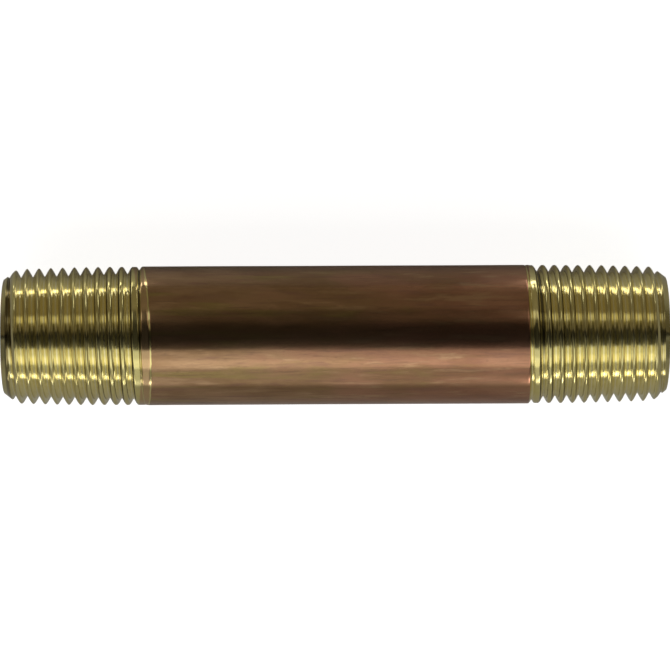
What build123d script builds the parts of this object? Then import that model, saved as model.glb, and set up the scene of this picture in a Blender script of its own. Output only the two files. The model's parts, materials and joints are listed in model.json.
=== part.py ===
from build123d import *
import os
from math import atan, cos, degrees, radians, tan

# Threaded pipe nipple, 1/2 in x 4 in, red brass: one length of pipe with a male taper
# pipe thread cut on each end. It is one piece of metal, stored as three solids that meet
# face to face, because the barrel keeps its tarnished drawn skin while the two threaded
# ends are bright cut metal.
#
# Units are millimetres. The pipe lies along X with Z up, and the origin is on its axis at
# mid-length. A threaded end is made standing on its own local axes, with its end face at
# z = 0 and the barrel above it, and is then laid along X.

INCH = 25.4

# The pipe: 1/2 in red brass, regular weight.
LENGTH = 4.0 * INCH
PIPE_RADIUS = 0.840 * INCH / 2
WALL = 0.107 * INCH
BORE_RADIUS = PIPE_RADIUS - WALL
BORE_CHAMFER = 0.35

# The thread: 1/2-14 NPT, right hand, with its basic sizes at the small end.
PITCH = INCH / 14
TAPER = 1 / 32
THREAD_HEIGHT = 0.8 * PITCH
FLANK_ANGLE = 30
ROOT_FLAT = 0.038 * PITCH
PITCH_RADIUS_AT_END = 0.75843 * INCH / 2
ROOT_RADIUS_AT_END = PITCH_RADIUS_AT_END - THREAD_HEIGHT / 2
CREST_RADIUS_AT_END = PITCH_RADIUS_AT_END + THREAD_HEIGHT / 2
TAPER_ANGLE = degrees(atan(TAPER))

# The end of the pipe is chamfered down past the thread roots. Towards the barrel the die
# only skims the crests, and the last turn of the groove lifts out at the run-out angle.
THREADED_LENGTH = 22.0
SKIM = 0.05
SKIM_STEP_LENGTH = 0.6
END_CHAMFER_RADIUS = 8.75
END_CHAMFER_ANGLE = 38
RUN_OUT_ANGLE = 32

# Distances from each end face: to the first groove, where it crosses the pipe's +Y side,
# and to the point where the groove starts to lift out.
LEFT_FIRST_GROOVE = 0.80
LEFT_FULL_DEPTH = 19.9
RIGHT_FIRST_GROOVE = 1.61
RIGHT_FULL_DEPTH = 19.9

# The cutter stands a little proud of the crests, and stays narrower than one pitch so
# that neighbouring turns never touch.
CUTTER_HEIGHT = THREAD_HEIGHT + 0.05


def turned_end():
    """The solid that a thread is cut into: tapered, chamfered and reamed."""
    skimmed_radius = PIPE_RADIUS - SKIM
    taper_length = (skimmed_radius - CREST_RADIUS_AT_END) / TAPER
    chamfer_slope = tan(radians(END_CHAMFER_ANGLE))
    chamfer_length = (CREST_RADIUS_AT_END - END_CHAMFER_RADIUS) / (chamfer_slope - TAPER)
    chamfer_top_radius = CREST_RADIUS_AT_END + TAPER * chamfer_length
    outline = Polyline(
        (BORE_RADIUS + BORE_CHAMFER, 0),
        (END_CHAMFER_RADIUS, 0),
        (chamfer_top_radius, chamfer_length),
        (skimmed_radius, taper_length),
        (skimmed_radius, THREADED_LENGTH - SKIM_STEP_LENGTH),
        (PIPE_RADIUS, THREADED_LENGTH),
        (BORE_RADIUS, THREADED_LENGTH),
        (BORE_RADIUS, BORE_CHAMFER),
        close=True,
    )
    return revolve(Plane.XZ * make_face(outline), Axis.Z)


def groove_cutter(start, height, cone_angle):
    """One closed stretch of groove, from z = start, that begins on the local X axis."""
    root_radius = ROOT_RADIUS_AT_END + TAPER * start
    outer_radius = root_radius + CUTTER_HEIGHT
    root_half = ROOT_FLAT / 2
    outer_half = root_half + CUTTER_HEIGHT * tan(radians(FLANK_ANGLE))
    corners = [
        (-root_half, root_radius),
        (root_half, root_radius),
        (outer_half, outer_radius),
        (-outer_half, outer_radius),
    ]

    # A helix on a cone takes its pitch along the slant.
    slant_pitch = PITCH / cos(radians(cone_angle))
    edges = [
        Helix(slant_pitch, height, radius, (0, 0, start + offset), (0, 0, 1), cone_angle).edge()
        for offset, radius in corners
    ]
    next_edges = edges[1:] + edges[:1]
    sides = [Face.make_surface_from_curves(a, b) for a, b in zip(edges, next_edges)]
    caps = [
        Face(Wire(Polyline(*[edge @ end for edge in edges], close=True)))
        for end in (0, 1)
    ]
    return Solid(Shell(sides + caps))


def groove_cutters(first_groove, full_depth):
    """The whole groove: single turns at full depth, and then the run-out.

    The first turn starts two pitches back, where it is clear of the end face.
    """
    cutters = []
    start = first_groove - 2 * PITCH
    while start < full_depth:
        height = min(PITCH, full_depth - start)
        cutters.append(groove_cutter(start, height, TAPER_ANGLE))
        start += height

    run_out_length = CUTTER_HEIGHT / tan(radians(RUN_OUT_ANGLE))
    run_out_turn = 360 * (full_depth - first_groove) / PITCH
    run_out = groove_cutter(full_depth, run_out_length, RUN_OUT_ANGLE)
    cutters.append(run_out.rotate(Axis.Z, run_out_turn))
    return cutters


def threaded_end(first_groove, full_depth):
    """One threaded end on its own local axes."""
    end = turned_end()
    for cutter in groove_cutters(first_groove, full_depth):
        end = end - cutter
    return end


def barrel():
    """The plain pipe between the two threaded ends."""
    length = LENGTH - 2 * THREADED_LENGTH
    tube = Cylinder(PIPE_RADIUS, length) - Cylinder(BORE_RADIUS, length)
    return Plane.YZ * tube


def main():
    # Both end planes look inward along the pipe, with local X along the row's +Y.
    left_end = Plane(origin=(-LENGTH / 2, 0, 0), x_dir=(0, 1, 0), z_dir=(1, 0, 0))
    right_end = Plane(origin=(LENGTH / 2, 0, 0), x_dir=(0, 1, 0), z_dir=(-1, 0, 0))
    solids = {
        "barrel": barrel(),
        "left_thread": left_end * threaded_end(LEFT_FIRST_GROOVE, LEFT_FULL_DEPTH),
        "right_thread": right_end * threaded_end(RIGHT_FIRST_GROOVE, RIGHT_FULL_DEPTH),
    }
    os.makedirs("parts", exist_ok=True)
    for name, solid in solids.items():
        export_step(solid, f"parts/{name}.step")


main()
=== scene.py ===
import json
import math

import bpy
import numpy as np
from mathutils import Matrix, Vector

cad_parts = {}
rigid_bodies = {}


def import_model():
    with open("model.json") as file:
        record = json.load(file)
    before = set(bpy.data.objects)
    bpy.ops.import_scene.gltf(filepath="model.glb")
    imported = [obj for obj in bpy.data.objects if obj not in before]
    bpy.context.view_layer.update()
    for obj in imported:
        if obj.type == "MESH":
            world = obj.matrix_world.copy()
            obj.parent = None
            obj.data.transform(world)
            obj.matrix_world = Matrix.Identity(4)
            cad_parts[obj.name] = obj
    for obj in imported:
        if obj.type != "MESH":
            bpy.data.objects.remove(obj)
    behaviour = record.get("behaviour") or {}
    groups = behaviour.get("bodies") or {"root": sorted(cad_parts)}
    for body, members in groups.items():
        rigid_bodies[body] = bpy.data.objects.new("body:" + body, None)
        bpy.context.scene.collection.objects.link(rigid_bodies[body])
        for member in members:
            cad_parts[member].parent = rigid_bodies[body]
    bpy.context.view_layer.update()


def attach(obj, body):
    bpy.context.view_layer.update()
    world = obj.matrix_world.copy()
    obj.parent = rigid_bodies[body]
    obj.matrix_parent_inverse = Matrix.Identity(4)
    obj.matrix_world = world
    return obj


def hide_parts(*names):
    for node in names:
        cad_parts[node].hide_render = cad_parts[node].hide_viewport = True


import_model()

# Looks for the threaded pipe nipple. The pipe lies along X on a pale floor, and the main
# camera looks straight down on it with +Y towards the top of the picture.
#
# The three meshes are worked out in millimetres, from the same values as the CAD solids,
# and are written in metres. On a threaded end, s is the distance from the end face and
# the angle is counted about the axis from the +Y side, the way the thread climbs.

MM = 0.001
TURN = 2 * math.pi

# The pipe.
LENGTH = 101.6
PIPE_RADIUS = 10.668
BORE_RADIUS = PIPE_RADIUS - 2.7178
BORE_CHAMFER = 0.35

# The thread.
PITCH = 25.4 / 14
TAPER = 1 / 32
THREAD_HEIGHT = 0.8 * PITCH
FLANK_SLOPE = 1 / math.tan(math.radians(30))
ROOT_FLAT = 0.038 * PITCH
PITCH_DIAMETER_AT_END = 19.2641
ROOT_RADIUS_AT_END = (PITCH_DIAMETER_AT_END - THREAD_HEIGHT) / 2
CREST_RADIUS_AT_END = (PITCH_DIAMETER_AT_END + THREAD_HEIGHT) / 2
THREADED_LENGTH = 22.0
FULL_DEPTH = 19.9
LEFT_FIRST_GROOVE = 0.80
RIGHT_FIRST_GROOVE = 1.61
SKIM = 0.05
SKIM_STEP_LENGTH = 0.25
END_CHAMFER_RADIUS = 8.75
END_CHAMFER_SLOPE = math.tan(math.radians(38))
RUN_OUT_SLOPE = math.tan(math.radians(32))

# How far the corners are eased: each is the height over which two surfaces blend.
ROOT_ROUNDING = 0.06
CREST_ROUNDING = 0.50
CREST_LIFT = 0.085
GROOVE_EDGE_ROUNDING = 0.04
CHAMFER_ROUNDING = 0.35
TAPER_ROUNDING = 0.03
FLANK_BULGE = 0.08
BORE_EASE = 0.035

# The small faults left by cutting and handling.
CREST_WANDER = 0.012
BARREL_WANDER = 0.006
NICKS = 26

# Every ring of every mesh has this many points.
COLUMNS = 256


# ---------------------------------------------------------------- shapes

def smooth_min(a, b, blend):
    """The lower of two heights, with the corner where they cross rounded off."""
    near = np.clip(blend - np.abs(a - b), 0, None) / blend
    return np.minimum(a, b) - near ** 2 * blend / 4


def waves(seed, count, turns, spacing):
    """A smooth random function of angle and distance, about -1 to 1, that closes round."""
    rng = np.random.default_rng(seed)
    around = rng.integers(0, turns + 1, count)
    along = rng.uniform(-1, 1, count) * TURN / spacing
    phase = rng.uniform(0, TURN, count)

    def value(angle, s):
        total = np.zeros(np.broadcast(angle, s).shape)
        for m, k, p in zip(around, along, phase):
            total += np.sin(m * angle + k * s + p)
        return total / math.sqrt(count)

    return value


def left_skin_edge(angle):
    """Where the left end's bright metal stops: a ring that sits askew on the pipe."""
    return 21.7 + 1.15 * np.sin(angle) - 0.4 * np.cos(angle)


def right_skin_edge(angle):
    return 20.8 - 0.15 * np.sin(angle) + 0.27 * np.cos(angle)


def skim_step(past_edge):
    """The fine step from the skimmed crests up to the pipe's own skin."""
    return SKIM * np.clip((past_edge + SKIM_STEP_LENGTH) / SKIM_STEP_LENGTH, 0, 1)


class ThreadedEnd:
    """One threaded end: where its groove runs and how far out its surface stands."""

    def __init__(self, first_groove, skin_edge, seed):
        self.first_groove = first_groove
        self.skin_edge = skin_edge
        self.crest_wander = waves(seed, count=7, turns=5, spacing=6.0)
        self.nicks = self.make_nicks(seed + 1)

    def make_nicks(self, seed):
        """Small dents left by handling, as (s, angle, depth, size)."""
        rng = np.random.default_rng(seed)
        return list(zip(
            rng.uniform(1.5, THREADED_LENGTH - 2, NICKS),
            rng.uniform(0, TURN, NICKS),
            rng.uniform(0.02, 0.09, NICKS),
            rng.uniform(0.12, 0.35, NICKS),
        ))

    def groove_centres(self, angle, turns):
        return self.first_groove + PITCH * (turns + angle / TURN)

    def envelope(self, s):
        """The turned blank that the groove is cut into."""
        taper = CREST_RADIUS_AT_END + TAPER * s
        turned = smooth_min(taper, PIPE_RADIUS - SKIM, TAPER_ROUNDING)
        chamfer = END_CHAMFER_RADIUS + END_CHAMFER_SLOPE * s
        return smooth_min(turned, chamfer, CHAMFER_ROUNDING)

    def groove_floor(self, centre):
        full = ROOT_RADIUS_AT_END + TAPER * np.minimum(centre, FULL_DEPTH)
        return full + RUN_OUT_SLOPE * np.maximum(centre - FULL_DEPTH, 0)

    def groove_half_width(self, centre):
        """Half the groove's width at its mouth, kept wide enough to hold its samples."""
        open_depth = self.envelope(np.clip(centre, 0, None)) - self.groove_floor(centre)
        return np.clip(ROOT_FLAT / 2 + open_depth / FLANK_SLOPE, 0.34, PITCH / 2 - 0.03)

    def cut(self, blank, s, centre):
        """How far one turn of the groove lowers the blank."""
        across = np.sqrt((s - centre) ** 2 + ROOT_ROUNDING ** 2)
        groove = self.groove_floor(centre) + FLANK_SLOPE * (across - ROOT_FLAT / 2)
        part_way = np.clip(across / (PITCH / 2), 0, 1)
        groove = groove + FLANK_BULGE * np.sin(math.pi * part_way)
        rounded = smooth_min(groove, blank + CREST_LIFT, CREST_ROUNDING)
        return blank - smooth_min(rounded, blank, GROOVE_EDGE_ROUNDING)

    def radius(self, s, angle, centre):
        """The finished surface, and how deep it lies below the blank."""
        blank = self.envelope(s) + skim_step(s - self.skin_edge(angle))
        depth = sum(self.cut(blank, s, centre + n * PITCH) for n in (-1, 0, 1))
        crest = np.clip(1 - depth / 0.3, 0, 1)
        clear_of_rims = np.clip(s / 0.5, 0, 1) * np.clip((THREADED_LENGTH - s) / 1.5, 0, 1)
        worn = crest * clear_of_rims
        r = blank - depth + CREST_WANDER * self.crest_wander(angle, s) * worn
        for nick_s, nick_angle, deep, size in self.nicks:
            turn = (angle - nick_angle + math.pi) % TURN - math.pi
            apart = ((s - nick_s) / size) ** 2 + (turn * PIPE_RADIUS / (1.8 * size)) ** 2
            r = r - deep * np.exp(-apart) * worn
        return r, depth


def column_angles():
    return np.arange(COLUMNS) * TURN / COLUMNS


def groove_offsets(half_width):
    """Sample places across one pitch, from a groove's centre, gathered at its corners."""
    half = PITCH / 2
    root = [0.03, 0.07, 0.12]
    flank_width = half_width - root[-1] - 0.10
    flank = [root[-1] + flank_width * f for f in (0.25, 0.5, 0.75, 1.0)]
    edge = [half_width - 0.05, half_width]
    land = [half_width + (half - half_width) * f for f in (0.25, 0.5, 0.75)]
    outward = [np.broadcast_to(v, half_width.shape) for v in root + flank + edge + land]
    start = [np.full(half_width.shape, -half)]
    middle = [np.zeros(half_width.shape)]
    return np.stack(start + [-v for v in outward[::-1]] + middle + outward, axis=-1)


class GrooveGrid:
    """Sample places on a threaded end: a column for each angle, which crosses every turn.

    The first COLUMNS points are the end face's rim, and the next are the rim towards the
    barrel. Samples past either end fall on that end's rim, one point to a column.
    """

    def __init__(self, end):
        turns = np.arange(-2, int(THREADED_LENGTH / PITCH) + 3)
        angle, turn = np.meshgrid(column_angles(), turns, indexing="ij")
        centre = end.groove_centres(angle, turn)
        offset = groove_offsets(end.groove_half_width(centre))
        self.across = offset.shape[-1]
        self.s = (centre[..., None] + offset).reshape(COLUMNS, -1)
        self.centre = np.repeat(centre, self.across, axis=1)
        self.angle = np.repeat(angle, self.across, axis=1)
        self.along = np.repeat(turn + angle / TURN, self.across, axis=1) * TURN * PIPE_RADIUS

        close = 0.02
        before, after = self.s < close, self.s > THREADED_LENGTH - close
        self.inside = ~(before | after)
        self.ids = np.empty(self.s.shape, int)
        self.ids[self.inside] = np.arange(self.inside.sum()) + 2 * COLUMNS
        column = np.repeat(np.arange(COLUMNS)[:, None], self.s.shape[1], axis=1)
        self.ids[before] = column[before]
        self.ids[after] = column[after] + COLUMNS

    def next_column(self, values):
        """Each column's neighbour: the last one meets the first a whole turn further on."""
        return np.vstack([values[1:], np.roll(values[:1], -self.across, axis=1)])

    def corners(self):
        """The quads, as point numbers."""
        here, there = self.ids, self.next_column(self.ids)
        corners = np.stack([here[:, :-1], there[:, :-1], there[:, 1:], here[:, 1:]], axis=-1)
        past_last_turn = self.s.shape[1] - self.across - 1
        corners[-1, past_last_turn:] = corners[-1, past_last_turn:, :1]
        return corners.reshape(-1, 4)

    def cut_frame(self):
        """For each quad's corners, the distance across the groove and the distance along it."""
        offset = self.s - self.centre
        step_along = TURN * PIPE_RADIUS / COLUMNS
        here = np.stack([offset, self.along], axis=-1)
        there = np.stack([self.next_column(offset), self.along + step_along], axis=-1)
        corners = [here[:, :-1], there[:, :-1], self.far_side(there), self.far_side(here)]
        return np.stack(corners, axis=-2).reshape(-1, 4, 2)

    def far_side(self, values):
        """The same for the quads' far corners.

        A turn's last quad ends half a pitch past that turn's groove, which is the same
        place as half a pitch before the next one.
        """
        far = values[:, 1:].copy()
        last = (np.arange(far.shape[1]) + 1) % self.across == 0
        far[:, last, 0] = PITCH / 2
        far[:, last, 1] = values[:, :-1][:, last, 1]
        return far


def without_repeats(corners, extra):
    """Drops corners that fall on one another, and whole faces left with fewer than three."""
    faces, kept = [], []
    for face, values in zip(corners.tolist(), extra):
        keep = [i for i in range(4) if face[i] != face[i - 1]]
        if len(keep) > 2:
            faces.append([face[i] for i in keep])
            kept.extend(values[i] for i in keep)
    return faces, kept


def ring_faces(rings):
    """Quads between vertex rings that follow one another."""
    faces = []
    for low, high in zip(rings[:-1], rings[1:]):
        after_low, after_high = np.roll(low, -1), np.roll(high, -1)
        faces += np.stack([low, after_low, after_high, high], axis=-1).tolist()
    return faces


def finish_mesh(name, points, faces, rings):
    """Makes a smooth-shaded object, with a crisp edge along each vertex ring given."""
    mesh = bpy.data.meshes.new(name)
    mesh.from_pydata((np.asarray(points) * MM).tolist(), [], faces)
    mesh.update()
    mesh.shade_smooth()
    label = np.zeros(len(mesh.vertices), int)
    for number, ring in enumerate(rings, start=1):
        label[ring] = number
    ends = np.empty(len(mesh.edges) * 2, int)
    mesh.edges.foreach_get("vertices", ends)
    first, second = label[ends[0::2]], label[ends[1::2]]
    crisp = mesh.attributes.new("sharp_edge", "BOOLEAN", "EDGE")
    crisp.data.foreach_set("value", (first == second) & (first > 0))
    piece = bpy.data.objects.new(name, mesh)
    bpy.context.collection.objects.link(piece)
    return piece


def set_points(mesh, name, values):
    """Stores one number for each point, for the material to read."""
    store = mesh.attributes.new(name, "FLOAT", "POINT")
    store.data.foreach_set("value", np.asarray(values, dtype=np.float32))


def set_cut_frame(mesh, values):
    """Stores the place across and along the groove for the mesh's first face corners."""
    store = mesh.attributes.new("cut_frame", "FLOAT_VECTOR", "CORNER")
    vectors = np.zeros((len(mesh.loops), 3), np.float32)
    vectors[:len(values), :2] = np.asarray(values).reshape(-1, 2)
    store.data.foreach_set("vector", vectors.ravel())


def place(s, r, angle, side):
    """Where a point of a threaded end lies: side is -1 on the left and 1 on the right."""
    x = side * (LENGTH / 2 - s)
    return np.stack([x + 0 * r, r * np.cos(angle), -side * r * np.sin(angle)], axis=-1)


def bore_profile():
    """The inside of a threaded end as (s, radius), from the barrel out to the end face.

    It has two places close beside each corner of the chamfer, which ease that corner.
    """
    straight = np.linspace(THREADED_LENGTH - 1, BORE_CHAMFER + 0.6, 12)
    mouth = BORE_RADIUS + BORE_CHAMFER
    return [
        (THREADED_LENGTH, BORE_RADIUS),
        *[(s, BORE_RADIUS) for s in straight],
        (BORE_CHAMFER + 0.12, BORE_RADIUS),
        (BORE_CHAMFER - 0.03, BORE_RADIUS + BORE_EASE),
        (0.03, mouth - BORE_EASE),
        (0.0, mouth + 0.05),
        (0.0, END_CHAMFER_RADIUS - 0.12),
    ]


def build_threaded_end(name, side, end):
    """One threaded end: a grid that follows the groove, closed by rings down the bore."""
    angles = column_angles()
    zero = np.zeros(COLUMNS)
    grid = GrooveGrid(end)
    s, angle, centre = (values[grid.inside] for values in (grid.s, grid.angle, grid.centre))
    r, depth = end.radius(s, angle, centre)

    last_radius = PIPE_RADIUS - SKIM + skim_step(THREADED_LENGTH - end.skin_edge(angles))
    rows = [
        (zero, zero + END_CHAMFER_RADIUS, angles, zero),
        (zero + THREADED_LENGTH, last_radius, angles, zero),
        (s, r, angle, depth),
    ]
    outer_count = 2 * COLUMNS + len(s)
    rings = [np.arange(COLUMNS) + COLUMNS]
    for number, (ring_s, ring_radius) in enumerate(bore_profile()):
        rows.append((zero + ring_s, zero + ring_radius, angles, zero))
        rings.append(np.arange(COLUMNS) + outer_count + number * COLUMNS)
    rings.append(np.arange(COLUMNS))
    distance, radius, around, depths = map(np.concatenate, zip(*rows))

    faces, kept = without_repeats(grid.corners(), grid.cut_frame())
    crisp = [rings[0], rings[1], rings[-1]]
    points = place(distance, radius, around, side)
    piece = finish_mesh(name, points, faces + ring_faces(rings), crisp)
    mesh = piece.data
    set_cut_frame(mesh, kept)
    set_points(mesh, "groove_depth", depths / THREAD_HEIGHT)
    set_points(mesh, "past_edge", distance - end.skin_edge(around))
    set_points(mesh, "bore", np.arange(len(points)) >= outer_count)
    set_points(mesh, "from_end", distance)
    set_points(mesh, "left", np.full(len(points), side < 0))
    return piece


def build_barrel(name, left, right):
    """The plain pipe between the threads, with the skin's edges where the ends left them."""
    half = LENGTH / 2 - THREADED_LENGTH
    angles = column_angles()
    near_end = np.array([0, 0.15, 0.3, 0.45, 0.6, 0.75, 0.9, 1.05, 1.3, 1.7])
    middle = np.linspace(-half + 2.2, half - 2.2, 90)
    outer_x = np.concatenate([-half + near_end, middle, half - near_end[::-1]])
    inner_x = np.linspace(half, -half, 24)
    wander = waves(5, count=14, turns=9, spacing=22.0)

    rows = []
    for x in outer_x:
        past_left = x + LENGTH / 2 - left.skin_edge(angles)
        past_right = LENGTH / 2 - x - right.skin_edge(-angles)
        past_edge = np.minimum(past_left, past_right)
        swell = min(1.0, (half - abs(x)) / 6)
        uneven = BARREL_WANDER * swell * (wander(angles, x) - 1)
        rows.append((x + 0 * angles, PIPE_RADIUS - SKIM + skim_step(past_edge) + uneven, past_edge))
    for x in inner_x:
        rows.append((x + 0 * angles, BORE_RADIUS + 0 * angles, 1 + 0 * angles))
    x, r, past_edge = map(np.concatenate, zip(*rows))
    around = np.tile(angles, len(rows))

    rings = [np.arange(COLUMNS) + n * COLUMNS for n in range(len(rows))]
    crisp = [rings[0], rings[len(outer_x) - 1], rings[len(outer_x)], rings[-1]]
    points = np.stack([x, r * np.cos(around), r * np.sin(around)], axis=-1)
    piece = finish_mesh(name, points, ring_faces(rings + [rings[0]]), crisp)
    mesh = piece.data
    set_cut_frame(mesh, [])
    set_points(mesh, "groove_depth", 0 * x)
    set_points(mesh, "past_edge", past_edge)
    set_points(mesh, "bore", np.arange(len(points)) >= len(outer_x) * COLUMNS)
    set_points(mesh, "from_end", 0 * x + THREADED_LENGTH)
    set_points(mesh, "left", x < 0)
    return piece


# ---------------------------------------------------------------- shader nodes

def rgb(r, g, b):
    return (r, g, b, 1.0)


def add(tree, kind, inputs=None, **settings):
    """Adds a shader node. An input is given either a value or another node's output."""
    node = tree.nodes.new(kind)
    for key, value in settings.items():
        setattr(node, key, value)
    for key, value in (inputs or {}).items():
        if isinstance(value, bpy.types.NodeSocket):
            tree.links.new(value, node.inputs[key])
        else:
            node.inputs[key].default_value = value
    return node


def attribute(tree, name, output="Fac"):
    return add(tree, "ShaderNodeAttribute", attribute_name=name).outputs[output]


def maths(tree, operation, a, b=0.0):
    return add(tree, "ShaderNodeMath", {0: a, 1: b}, operation=operation).outputs[0]


def product(tree, value, *factors):
    for factor in factors:
        value = maths(tree, "MULTIPLY", value, factor)
    return value


def scaled(tree, value, factor, offset=0.0):
    """value times a factor, plus an offset."""
    return maths(tree, "ADD", maths(tree, "MULTIPLY", value, factor), offset)


def fade(tree, value, low, high, out_low=0.0, out_high=1.0):
    """A smooth step of value from low to high."""
    node = add(tree, "ShaderNodeMapRange", {
        "Value": value, "From Min": low, "From Max": high, "To Min": out_low, "To Max": out_high,
    }, interpolation_type="SMOOTHSTEP")
    return node.outputs["Result"]


def window(tree, value, start, full, leaving, gone):
    """1 between full and leaving, with smooth sides down to 0 at start and gone."""
    return product(tree, fade(tree, value, start, full), fade(tree, value, leaving, gone, 1.0, 0.0))


def mix(tree, factor, a, b):
    """Mixes two colours."""
    node = add(tree, "ShaderNodeMix", {0: factor}, data_type="RGBA")
    for socket, value in ((node.inputs[6], a), (node.inputs[7], b)):
        if isinstance(value, bpy.types.NodeSocket):
            tree.links.new(value, socket)
        else:
            socket.default_value = value
    return node.outputs[2]


def mix_numbers(tree, factor, a, b):
    return add(tree, "ShaderNodeMix", {0: factor, 2: a, 3: b}).outputs[0]


def noise(tree, vector, scale, detail, roughness, stretch=(1, 1, 1), shift=(0, 0, 0)):
    moved = add(tree, "ShaderNodeMapping", {"Vector": vector, "Scale": stretch, "Location": shift})
    node = add(tree, "ShaderNodeTexNoise", {
        "Vector": moved.outputs[0], "Scale": scale, "Detail": detail, "Roughness": roughness,
    })
    return node.outputs["Fac"]


def axis_of(tree, vector, axis):
    return add(tree, "ShaderNodeSeparateXYZ", {0: vector}).outputs[axis]


def empty_material(name):
    material = bpy.data.materials.new(name)
    material.use_nodes = True
    material.node_tree.nodes.clear()
    return material


# ---------------------------------------------------------------- materials

# Freshly cut brass. A groove reflects light three times before it comes back out, which
# deepens its colour, so the flanks are paler than the crests to match them.
FLANKS = (rgb(0.93, 0.86, 0.54), rgb(0.96, 0.90, 0.60))
CRESTS = (rgb(0.82, 0.71, 0.27), rgb(0.86, 0.76, 0.33))
CUT_LINES = rgb(0.82, 0.70, 0.32)
TORN_WALL = rgb(0.66, 0.56, 0.24)
# Painted shade: the dark brown laid into the grooves' shaded walls near the barrel and into the last
# turn's groove.
PAINTED_SHADE = rgb(0.05, 0.03, 0.008)
# Painted shade: a dark ring close to the left end face.
PAINTED_END_RING_SHADE = rgb(0.14, 0.10, 0.04)
RIM_SHADE = rgb(0.30, 0.26, 0.16)
RUBBED_SKIN = rgb(0.80, 0.52, 0.28)

# The drawn pipe's oxide.
TAWNY = (rgb(0.40, 0.235, 0.115), rgb(0.52, 0.32, 0.17))
ROSY = (rgb(0.40, 0.19, 0.108), rgb(0.50, 0.26, 0.15))
OLIVE_STREAKS = rgb(0.45, 0.33, 0.12)
PLUM = rgb(0.33, 0.17, 0.12)
TAN = rgb(0.62, 0.40, 0.22)
BROWN_STREAKS = rgb(0.27, 0.15, 0.09)
SPECKS = rgb(0.22, 0.12, 0.07)
BORE_WALL = (rgb(0.40, 0.25, 0.13), rgb(0.52, 0.38, 0.20))


def metal_material(name):
    """Red brass: bright where the die has cut it, tarnished where the drawn skin is left.

    Both finishes are in one material, so that each end's skin runs on into the barrel's.
    """
    material = empty_material(name)
    tree = material.node_tree
    place_in_mm = add(tree, "ShaderNodeMapping", {
        "Vector": add(tree, "ShaderNodeTexCoord").outputs["Object"],
        "Scale": (1 / MM, 1 / MM, 1 / MM),
    }).outputs[0]

    # Where the skin starts, with a slightly ragged edge.
    ragged = noise(tree, place_in_mm, 1.6, 4.0, 0.6, stretch=(0.5, 1, 1))
    past_edge = maths(tree, "ADD", attribute(tree, "past_edge"), scaled(tree, ragged, 0.25, -0.125))
    uncut = fade(tree, attribute(tree, "groove_depth"), 0.02, 0.06, 1.0, 0.0)
    skin = product(tree, fade(tree, past_edge, -0.02, 0.06), uncut)
    inner = fade(tree, attribute(tree, "bore"), 0.4, 0.6)

    bright, bright_rough, bright_height = bright_metal(tree, place_in_mm)
    dull, dull_rough, dull_height = tarnished_skin(tree, place_in_mm)
    inside, inside_rough = bore_wall(tree, place_in_mm)

    # On the left a band of skin is only half cleaned off, up to one bright scored line.
    half_cleaned = window(tree, past_edge, -1.75, -1.45, -0.22, -0.12)
    half_cleaned = product(tree, half_cleaned, uncut, attribute(tree, "left"), 0.85)
    bright = mix(tree, half_cleaned, bright, mix(tree, 0.45, dull, RUBBED_SKIN))

    colour = mix(tree, inner, mix(tree, skin, bright, dull), inside)
    rough = mix_numbers(tree, inner, mix_numbers(tree, skin, bright_rough, dull_rough), inside_rough)
    height = mix_numbers(tree, skin, bright_height, dull_height)
    bump = add(tree, "ShaderNodeBump", {"Height": height, "Strength": 1.0, "Distance": 0.01 * MM})
    shader = add(tree, "ShaderNodeBsdfPrincipled", {
        "Base Color": colour, "Metallic": 1.0, "Roughness": rough, "Normal": bump.outputs[0],
    })
    add(tree, "ShaderNodeOutputMaterial", {"Surface": shader.outputs[0]})
    return material


def bright_metal(tree, place_in_mm):
    """Freshly cut brass: one wall of the groove is left torn and rough, the other smooth.

    The distances across the groove and from the end face are in millimetres.
    """
    cut_frame = attribute(tree, "cut_frame", "Vector")
    depth = attribute(tree, "groove_depth")
    from_end = attribute(tree, "from_end")
    across = axis_of(tree, cut_frame, "X")

    lines = noise(tree, cut_frame, 9.0, 4.0, 0.65, stretch=(1, 0.02, 1))
    coarse = noise(tree, cut_frame, 2.2, 2.0, 0.5, stretch=(1, 0.05, 1))
    patches = fade(tree, noise(tree, place_in_mm, 0.35, 3.0, 0.55), 0.35, 0.65)
    crests, flanks = mix(tree, patches, *CRESTS), mix(tree, patches, *FLANKS)
    clean = mix(tree, fade(tree, depth, 0.02, 0.25), crests, flanks)
    colour = mix(tree, fade(tree, lines, 0.35, 0.75, 0.0, 0.12), clean, CUT_LINES)

    cut = fade(tree, depth, 0.01, 0.08)
    torn = product(tree, window(tree, across, 0.40, 0.50, 0.68, 0.84), cut)
    colour = mix(tree, product(tree, torn, 0.65), colour, TORN_WALL)

    # Painted shade: near the barrel, a band on one wall of each groove is darkened, and so is the last
    # turn's groove.
    near_barrel = fade(tree, from_end, 9.0, 19.0)
    painted_shade = product(tree, window(tree, across, 0.40, 0.48, 0.58, 0.70), cut, near_barrel)
    painted_shade = maths(tree, "MAXIMUM", painted_shade, last_turn_painted_shade(tree, place_in_mm, depth, from_end, across))
    colour = mix(tree, product(tree, painted_shade, 0.96), colour, PAINTED_SHADE)

    # Painted shade: a dark ring 0.6 to 1.3 mm from the left end face.
    end_ring_shade = product(tree, window(tree, from_end, 0.6, 0.8, 1.1, 1.3), attribute(tree, "left"))
    colour = mix(tree, product(tree, end_ring_shade, 0.75), colour, PAINTED_END_RING_SHADE)
    colour = mix(tree, fade(tree, from_end, 0.5, 2.2, 0.3, 0.0), colour, RIM_SHADE)

    rough = maths(tree, "ADD", scaled(tree, coarse, 0.10, 0.09), scaled(tree, torn, 0.08))
    height = maths(tree, "ADD", scaled(tree, lines, 0.05), scaled(tree, coarse, 0.10))
    return colour, rough, height


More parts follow.
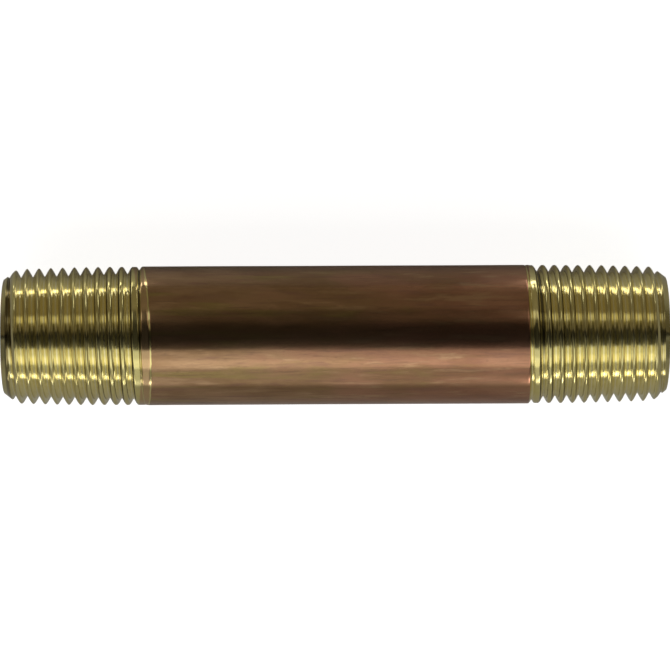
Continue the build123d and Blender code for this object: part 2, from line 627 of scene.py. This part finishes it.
def last_turn_painted_shade(tree, place_in_mm, depth, from_end, across):
    """Painted shade: the groove's last turn is darkened right across, mostly on its +Y side.

    It lies 1.5 mm further from the end face on the left than on the right.
    """
    distance = maths(tree, "SUBTRACT", from_end, scaled(tree, attribute(tree, "left"), 1.5))
    return product(
        tree,
        window(tree, distance, 18.7, 19.2, 20.3, 20.6),
        fade(tree, axis_of(tree, place_in_mm, "Y"), -5.0, 0.0, 0.15, 0.72),
        fade(tree, maths(tree, "ABSOLUTE", across), 0.08, 0.20, 1.0, 0.0),
        fade(tree, depth, 0.005, 0.02),
    )


def tarnished_skin(tree, place_in_mm):
    """The drawn pipe's oxide: brown, drawn out along the pipe into streaks and patches.

    It is yellower towards the left end and rosier towards the right.
    """
    long_streaks = noise(tree, place_in_mm, 0.45, 2.5, 0.5, stretch=(0.09, 1, 1))
    fine_streaks = noise(tree, place_in_mm, 2.4, 4.0, 0.6, stretch=(0.05, 1, 1), shift=(3, 5, 2))
    patches = noise(tree, place_in_mm, 0.22, 5.0, 0.6, stretch=(0.35, 1, 1), shift=(7, 3, 1))
    mottle = noise(tree, place_in_mm, 0.8, 5.0, 0.62, stretch=(0.16, 1, 1), shift=(1, 9, 4))
    specks = noise(tree, place_in_mm, 4.0, 3.0, 0.6, stretch=(0.5, 1, 1), shift=(5, 2, 8))
    drift = maths(tree, "ADD", axis_of(tree, place_in_mm, "X"), scaled(tree, patches, 120.0, -60.0))

    patchy = fade(tree, patches, 0.38, 0.62)
    rosiness = fade(tree, drift, -14.0, 22.0)
    colour = mix(tree, rosiness, mix(tree, patchy, *TAWNY), mix(tree, patchy, *ROSY))
    olive = product(tree, fade(tree, long_streaks, 0.52, 0.64), fade(tree, drift, -24.0, 4.0, 0.8, 0.12))
    colour = mix(tree, olive, colour, OLIVE_STREAKS)
    colour = mix(tree, fade(tree, mottle, 0.52, 0.70, 0.0, 0.5), colour, PLUM)
    colour = mix(tree, fade(tree, mottle, 0.48, 0.32, 0.0, 0.6), colour, TAN)
    colour = mix(tree, fade(tree, fine_streaks, 0.52, 0.70, 0.0, 0.45), colour, BROWN_STREAKS)
    colour = mix(tree, fade(tree, specks, 0.58, 0.72, 0.0, 0.35), colour, SPECKS)

    rough = scaled(tree, mottle, 0.20, 0.09)
    height = maths(tree, "ADD", scaled(tree, mottle, 0.9), scaled(tree, long_streaks, 1.1))
    return colour, rough, height


def bore_wall(tree, place_in_mm):
    """The inside: drawn and dull, darker than the outside."""
    streaks = noise(tree, place_in_mm, 0.8, 4.0, 0.6, stretch=(0.06, 1, 1), shift=(2, 2, 2))
    colour = mix(tree, fade(tree, streaks, 0.35, 0.65), *BORE_WALL)
    return colour, scaled(tree, streaks, 0.2, 0.3)


def floor_material():
    """Matt and pale, and lit up a little more where the camera sees it directly."""
    material = empty_material("pale_floor")
    tree = material.node_tree
    matt = add(tree, "ShaderNodeBsdfDiffuse", {"Color": rgb(0.8, 0.8, 0.8)})
    seen = add(tree, "ShaderNodeLightPath").outputs["Is Camera Ray"]
    glow = add(tree, "ShaderNodeEmission", {
        "Color": rgb(1, 1, 1), "Strength": product(tree, seen, 0.88),
    })
    both = add(tree, "ShaderNodeAddShader", {0: matt.outputs[0], 1: glow.outputs[0]})
    add(tree, "ShaderNodeOutputMaterial", {"Surface": both.outputs[0]})
    return material


# ---------------------------------------------------------------- studio

ALONG_PIPE = Vector((1, 0, 0))


def build_floor():
    """A pale disc that the pipe lies on."""
    level = -PIPE_RADIUS - 0.02
    radii = (60, 200, 600, 1500, 4000)
    spokes = 64
    points = [(0.0, 0.0, level)]
    for radius in radii:
        for n in range(spokes):
            turn = TURN * n / spokes
            points.append((radius * math.cos(turn), radius * math.sin(turn), level))
    faces = [[0, 1 + n, 1 + (n + 1) % spokes] for n in range(spokes)]
    for ring in range(len(radii) - 1):
        low, high = 1 + ring * spokes, 1 + (ring + 1) * spokes
        for n in range(spokes):
            after = (n + 1) % spokes
            faces.append([low + n, high + n, high + after, low + after])
    mesh = bpy.data.meshes.new("floor")
    mesh.from_pydata((np.asarray(points) * MM).tolist(), [], faces)
    mesh.materials.append(floor_material())
    floor = bpy.data.objects.new("floor", mesh)
    bpy.context.collection.objects.link(floor)


def tilt_direction(tilt):
    """A direction in the plane across the pipe, counted from straight up towards +Y."""
    turn = math.radians(tilt)
    return Vector((0, math.sin(turn), math.cos(turn)))


def add_lamp(name, centre, along, back, length, spread, distance, radiance):
    """A rectangular lamp that looks equally bright all over.

    Its long side runs along one direction, it faces away from back, and it spreads over
    the given angle as seen from the given distance.
    """
    width = 2 * distance * math.tan(math.radians(spread / 2))
    light = bpy.data.lights.new(name, "AREA")
    light.shape = "RECTANGLE"
    light.size = length
    light.size_y = width
    light.energy = radiance * math.pi * length * width
    lamp = bpy.data.objects.new(name, light)
    lamp.location = centre
    lamp.rotation_euler = Matrix((along, back.cross(along), back)).transposed().to_euler()
    lamp.visible_camera = False
    bpy.context.collection.objects.link(lamp)


def softbox(name, tilt, spread, distance, radiance):
    """A long light that runs the whole length of the pipe, and past it."""
    length = 1.8
    back = tilt_direction(tilt)
    add_lamp(name, back * distance, ALONG_PIPE, back, length, spread, distance, radiance)


def end_lamp(name, side, tilt, place_tilt, spread, radiance):
    """A short lamp close beside one threaded end, clear of the barrel's reflections.

    It stands in the direction tilt from the place on the thread that place_tilt gives.
    """
    distance = 70 * MM
    length = 62 * MM
    from_middle = 66 * MM
    surface = tilt_direction(place_tilt) * (PIPE_RADIUS * 0.97 * MM)
    back = tilt_direction(tilt)
    centre = surface + back * distance + ALONG_PIPE * side * from_middle
    add_lamp(name, centre, ALONG_PIPE, back, length, spread, distance, radiance)


def strip(name, start, end, spread, radiance):
    """A narrow lamp that runs between two directions as seen from the pipe."""
    distance = 0.7
    start, end = Vector(start).normalized() * distance, Vector(end).normalized() * distance
    centre = (start + end) / 2
    back = centre.normalized()
    along = (end - start).normalized()
    add_lamp(name, centre, along, back, (end - start).length, spread, distance, radiance)


def build_lights():
    softbox("key", tilt=-40.5, spread=33, distance=0.8, radiance=0.60)
    softbox("key_middle", tilt=-47, spread=15, distance=0.75, radiance=0.30)
    for side in (-1, 1):
        end_lamp("upper", side, tilt=98, place_tilt=44, spread=7.5, radiance=2.6)
        end_lamp("lower", side, tilt=-86, place_tilt=-40, spread=7.5, radiance=2.1)
        end_lamp("fill", side, tilt=33, place_tilt=16, spread=14, radiance=0.42)
    strip("upper_right", (0.16, 0.98, 0.07), (0.60, 0.78, -0.30), spread=5, radiance=4.0)
    strip("lower_right", (0.16, -0.97, 0.20), (0.60, -0.80, -0.16), spread=5, radiance=4.0)


# How bright the studio is at each tilt, as (tilt in degrees, grey), from below the pipe's
# -Y side, over the top and down its +Y side. The first is for light that travels square
# to the pipe, which the barrel reflects to the camera, and the second is for light that
# slants along it, which the threads reflect.
STUDIO_SQUARE_ON = (
    (-180, 0.25), (-125, 0.50), (-101, 0.78), (-82, 0.57), (-62, 0.54), (-58, 0.12),
    (-24, 0.08), (-10, 0.035), (38, 0.02), (49, 0.19), (56, 0.175), (100, 0.165), (180, 0.22),
)
STUDIO_SLANTING = (
    (-180, 0.25), (-130, 0.23), (-100, 0.28), (-62, 0.50), (-58, 0.10), (-24, 0.02),
    (-10, 0.01), (21, 0.012), (30, 0.30), (38, 0.30), (48, 0.20), (100, 0.165), (180, 0.22),
)


def studio_ramp(tree, place_on_ramp, stops):
    """A studio's brightness by tilt, warmer on the +Y side."""
    ramp = add(tree, "ShaderNodeValToRGB", {0: place_on_ramp})
    elements = ramp.color_ramp.elements
    while len(elements) < len(stops):
        elements.new(0.5)
    for element, (tilt, grey) in zip(elements, stops):
        element.position = tilt / 360 + 0.5
        element.color = rgb(grey, 0.88 * grey, 0.68 * grey) if tilt > 0 else rgb(grey, grey, grey)
    return ramp.outputs["Color"]


def build_world():
    """A dim studio that is darkest overhead, behind the camera."""
    world = bpy.data.worlds.new("studio")
    bpy.context.scene.world = world
    world.use_nodes = True
    tree = world.node_tree
    tree.nodes.clear()
    parts = add(tree, "ShaderNodeSeparateXYZ", {0: add(tree, "ShaderNodeTexCoord").outputs["Generated"]})
    tilt = maths(tree, "ARCTAN2", parts.outputs["Y"], parts.outputs["Z"])
    sideways = maths(tree, "ABSOLUTE", parts.outputs["X"])

    # The dark place behind the camera is round, so it is narrower away from the middle.
    narrowing = scaled(tree, maths(tree, "MINIMUM", product(tree, sideways, sideways), 0.12), 14.0, 1.0)
    tilt = product(tree, tilt, narrowing)
    tilt = maths(tree, "MAXIMUM", maths(tree, "MINIMUM", tilt, math.pi), -math.pi)
    place_on_ramp = scaled(tree, tilt, 1 / TURN, 0.5)

    square_on = studio_ramp(tree, place_on_ramp, STUDIO_SQUARE_ON)
    slanting = studio_ramp(tree, place_on_ramp, STUDIO_SLANTING)
    studio = mix(tree, fade(tree, sideways, 0.055, 0.08), square_on, slanting)
    studio = mix(tree, fade(tree, sideways, 0.2, 0.6, 0.0, 0.45), studio, rgb(0.0, 0.0, 0.0))
    seen = add(tree, "ShaderNodeLightPath").outputs["Is Camera Ray"]
    colour = mix(tree, seen, studio, rgb(0.98, 0.98, 0.98))
    background = add(tree, "ShaderNodeBackground", {"Color": colour, "Strength": 1.0})
    add(tree, "ShaderNodeOutputWorld", {"Surface": background.outputs[0]})


def build_camera():
    """Looks straight down, from far enough that the pipe just fills the picture's width."""
    distance = 0.574
    lens = 200.5
    yaw = math.radians(0.5)
    roll = math.radians(0.256)
    camera = bpy.data.objects.new("camera", bpy.data.cameras.new("camera"))
    back = Vector((-math.sin(yaw), 0, math.cos(yaw)))
    up = Vector((math.sin(roll), math.cos(roll), 0))
    right = up.cross(back).normalized()
    up = back.cross(right)
    camera.location = back * distance
    camera.rotation_euler = Matrix((right, up, back)).transposed().to_euler()
    camera.data.lens = lens
    camera.data.sensor_width = 36
    camera.data.clip_start = 0.01
    camera.data.clip_end = 10
    bpy.context.collection.objects.link(camera)
    bpy.context.scene.camera = camera


# ---------------------------------------------------------------- the object

def build_object():
    left = ThreadedEnd(LEFT_FIRST_GROOVE, left_skin_edge, seed=11)
    right = ThreadedEnd(RIGHT_FIRST_GROOVE, right_skin_edge, seed=29)
    material = metal_material("red_brass")
    pieces = {
        "left_thread": (build_threaded_end("left_end", -1, left), "bright_thread"),
        "right_thread": (build_threaded_end("right_end", 1, right), "bright_thread"),
        "barrel": (build_barrel("pipe_barrel", left, right), "tarnished_barrel"),
    }
    for node, (piece, slot) in pieces.items():
        piece.data.materials.append(material)
        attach(piece, "root")
        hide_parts(node)


build_object()
build_floor()
build_world()
build_lights()
build_camera()
bpy.context.scene.view_settings.view_transform = "Standard"
